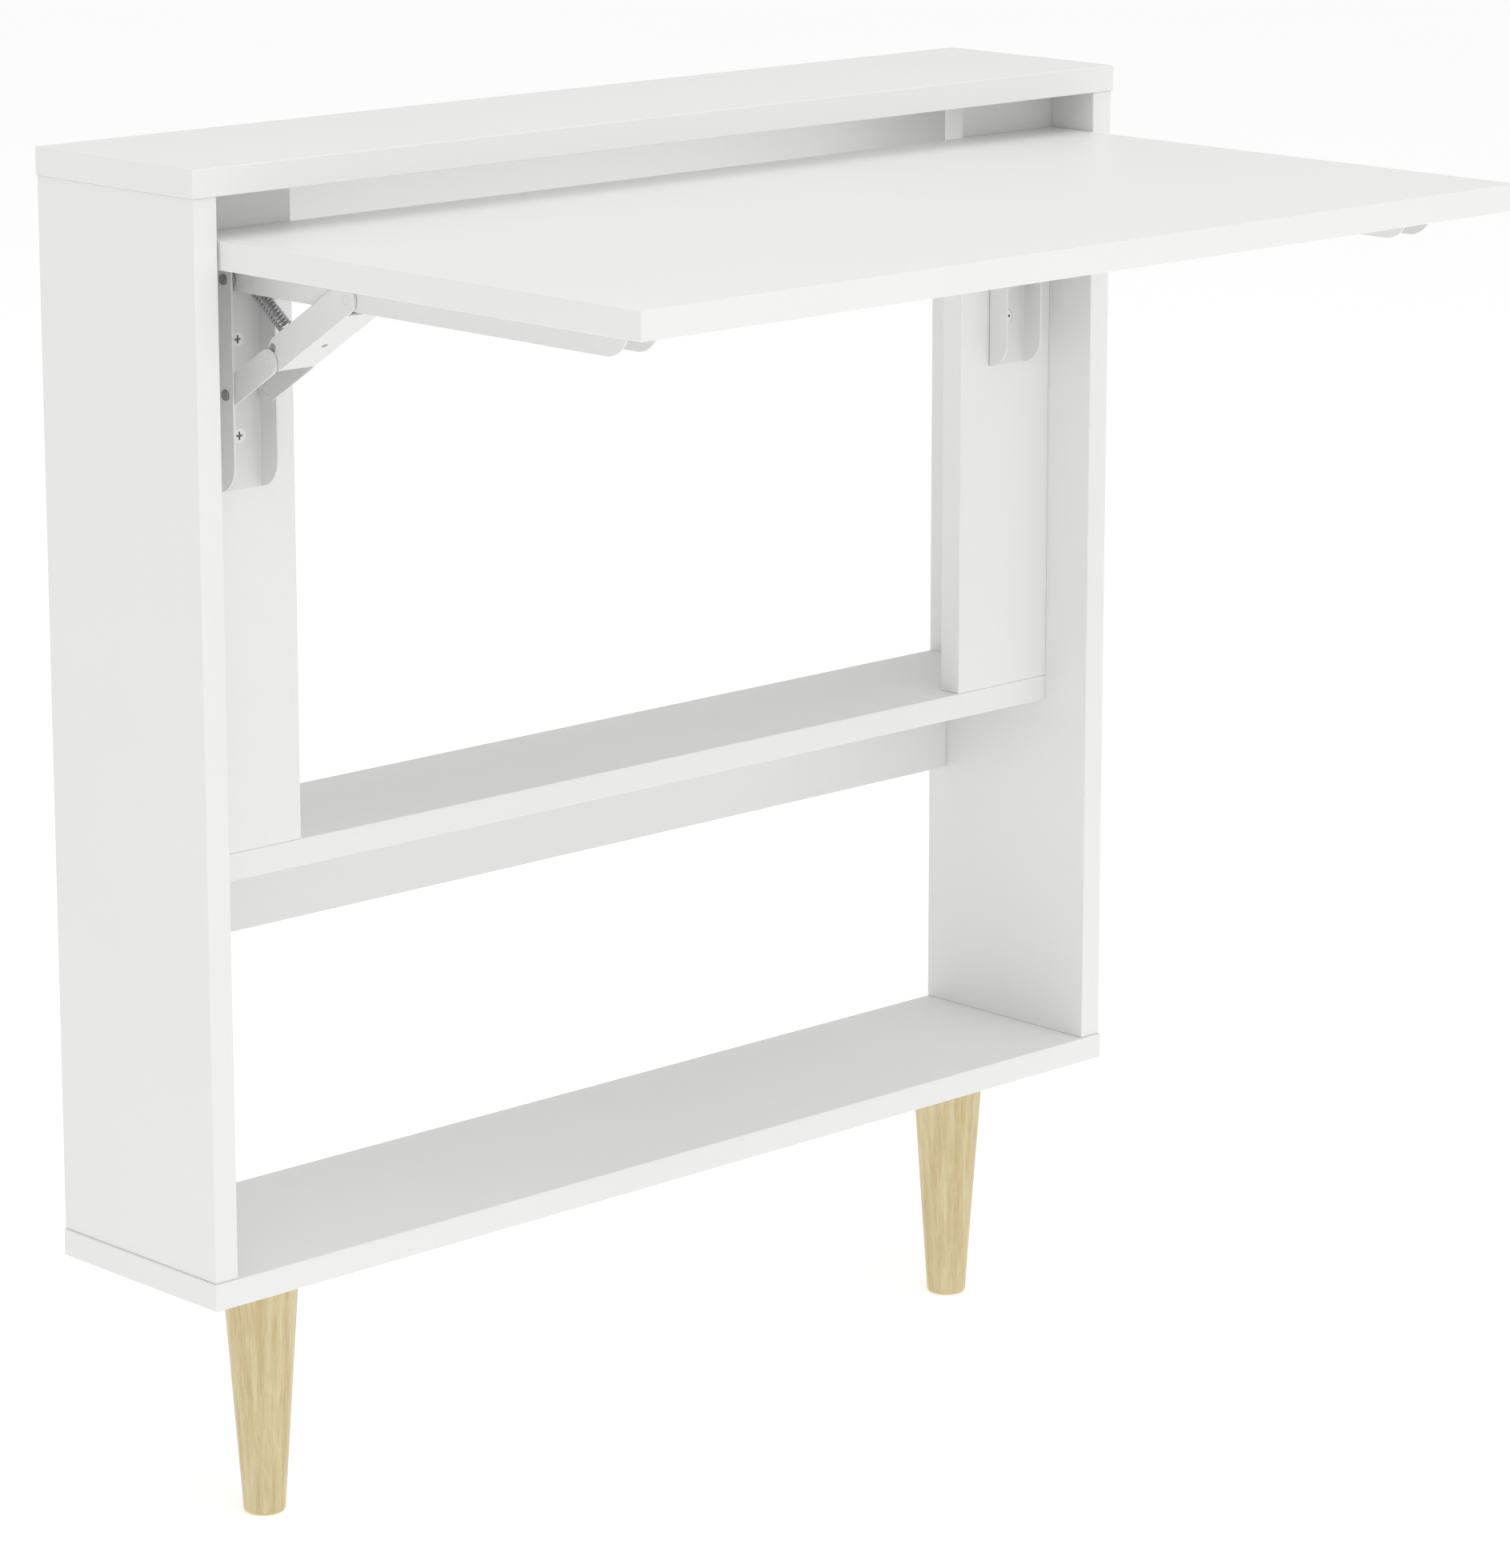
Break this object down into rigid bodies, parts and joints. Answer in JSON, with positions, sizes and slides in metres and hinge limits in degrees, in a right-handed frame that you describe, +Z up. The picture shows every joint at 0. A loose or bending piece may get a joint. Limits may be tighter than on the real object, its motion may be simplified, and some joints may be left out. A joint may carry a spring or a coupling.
{
  "type": "secretary desk",
  "caption": "Slim wall-fixed secretary desk: open board case on tapered wooden legs, with a drop-down writing flap on folding steel brackets.",
  "frame": {"origin": "on the rear face, midway between the two wall-fixing holes of the upper back rail", "axes": "+Z up, +Y towards the wall, +X to the right as seen from the front; the flap opens towards -Y"},
  "size_m": [0.73, 0.4776, 0.801],
  "materials": {
    "white_board": "white melamine-faced chipboard with matching edging, satin",
    "bracket_paint": "white powder-coated pressed steel, satin",
    "plate_screw_paint": "white lacquered countersunk screws",
    "zinc": "zinc-plated steel, bright",
    "dark_pin": "blackened steel",
    "spring_steel": "oiled dark spring wire",
    "leg_wood": "light turned hardwood, clear satin lacquer",
    "dowel_wood": "plain fluted beech dowel"
  },
  "bodies": {
    "carcass": {"top_board": "white_board", "bottom_board": "white_board", "left_side_panel": "white_board", "right_side_panel": "white_board", "left_stile": "white_board", "right_stile": "white_board", "middle_shelf": "white_board", "upper_back_rail": "white_board", "lower_back_rail": "white_board", "corner_dowels": "dowel_wood", "shelf_dowels": "dowel_wood", "rail_dowels": "dowel_wood", "stile_dowels": "dowel_wood", "left_leg": "leg_wood", "right_leg": "leg_wood", "left_leg_plate": "zinc", "right_leg_plate": "zinc", "hanger_bolts": "zinc", "leg_plate_screws": "zinc", "plate_screws": "plate_screw_paint", "left_wall_plate": "bracket_paint", "left_hinge_pin": "dark_pin", "left_hinge_washers": "zinc", "left_strap_rivets": "dark_pin", "right_wall_plate": "bracket_paint", "right_hinge_pin": "dark_pin", "right_hinge_washers": "zinc", "right_strap_rivets": "dark_pin"},
    "writing_flap": {"flap": "white_board", "left_arm": "bracket_paint", "right_arm": "bracket_paint", "arm_screws": "zinc"},
    "left_brace_link": {"left_upper_link": "bracket_paint", "left_link_pin": "bracket_paint", "left_knee_rivets": "bracket_paint", "left_spring_rivets": "dark_pin", "left_spring": "spring_steel"},
    "left_brace_straps": {"left_link_straps": "bracket_paint", "left_knee_heads": "bracket_paint"},
    "right_brace_link": {"right_upper_link": "bracket_paint", "right_link_pin": "bracket_paint", "right_knee_rivets": "bracket_paint", "right_spring_rivets": "dark_pin", "right_spring": "spring_steel"},
    "right_brace_straps": {"right_link_straps": "bracket_paint", "right_knee_heads": "bracket_paint"}
  },
  "joints": [
    {"name": "flap_fold", "type": "hinge", "parent": "carcass", "child": "writing_flap", "pos_m": [0, -0.1139, -0.0036], "axis": [1, 0, 0], "range_deg": [0, 90]},
    {"name": "left_link_turn", "type": "hinge", "parent": "writing_flap", "child": "left_brace_link", "pos_m": [-0.308, -0.215, -0.0041], "axis": [1, 0, 0], "range_deg": [0, 32.3], "deforming": ["left_spring"]},
    {"name": "left_straps_turn", "type": "hinge", "parent": "carcass", "child": "left_brace_straps", "pos_m": [-0.308, -0.1139, -0.068], "axis": [1, 0, 0], "range_deg": [-57.72, 0]},
    {"name": "right_link_turn", "type": "hinge", "parent": "writing_flap", "child": "right_brace_link", "pos_m": [0.308, -0.215, -0.0041], "axis": [1, 0, 0], "range_deg": [0, 32.3], "deforming": ["right_spring"]},
    {"name": "right_straps_turn", "type": "hinge", "parent": "carcass", "child": "right_brace_straps", "pos_m": [0.308, -0.1139, -0.068], "axis": [1, 0, 0], "range_deg": [-57.72, 0]}
  ],
  "couplings": [
    {"joint": "left_link_turn", "follows": "flap_fold", "ratio": 0.3588},
    {"joint": "left_straps_turn", "follows": "flap_fold", "ratio": -0.6412},
    {"joint": "right_link_turn", "follows": "flap_fold", "ratio": 0.3588},
    {"joint": "right_straps_turn", "follows": "flap_fold", "ratio": -0.6412}
  ]
}
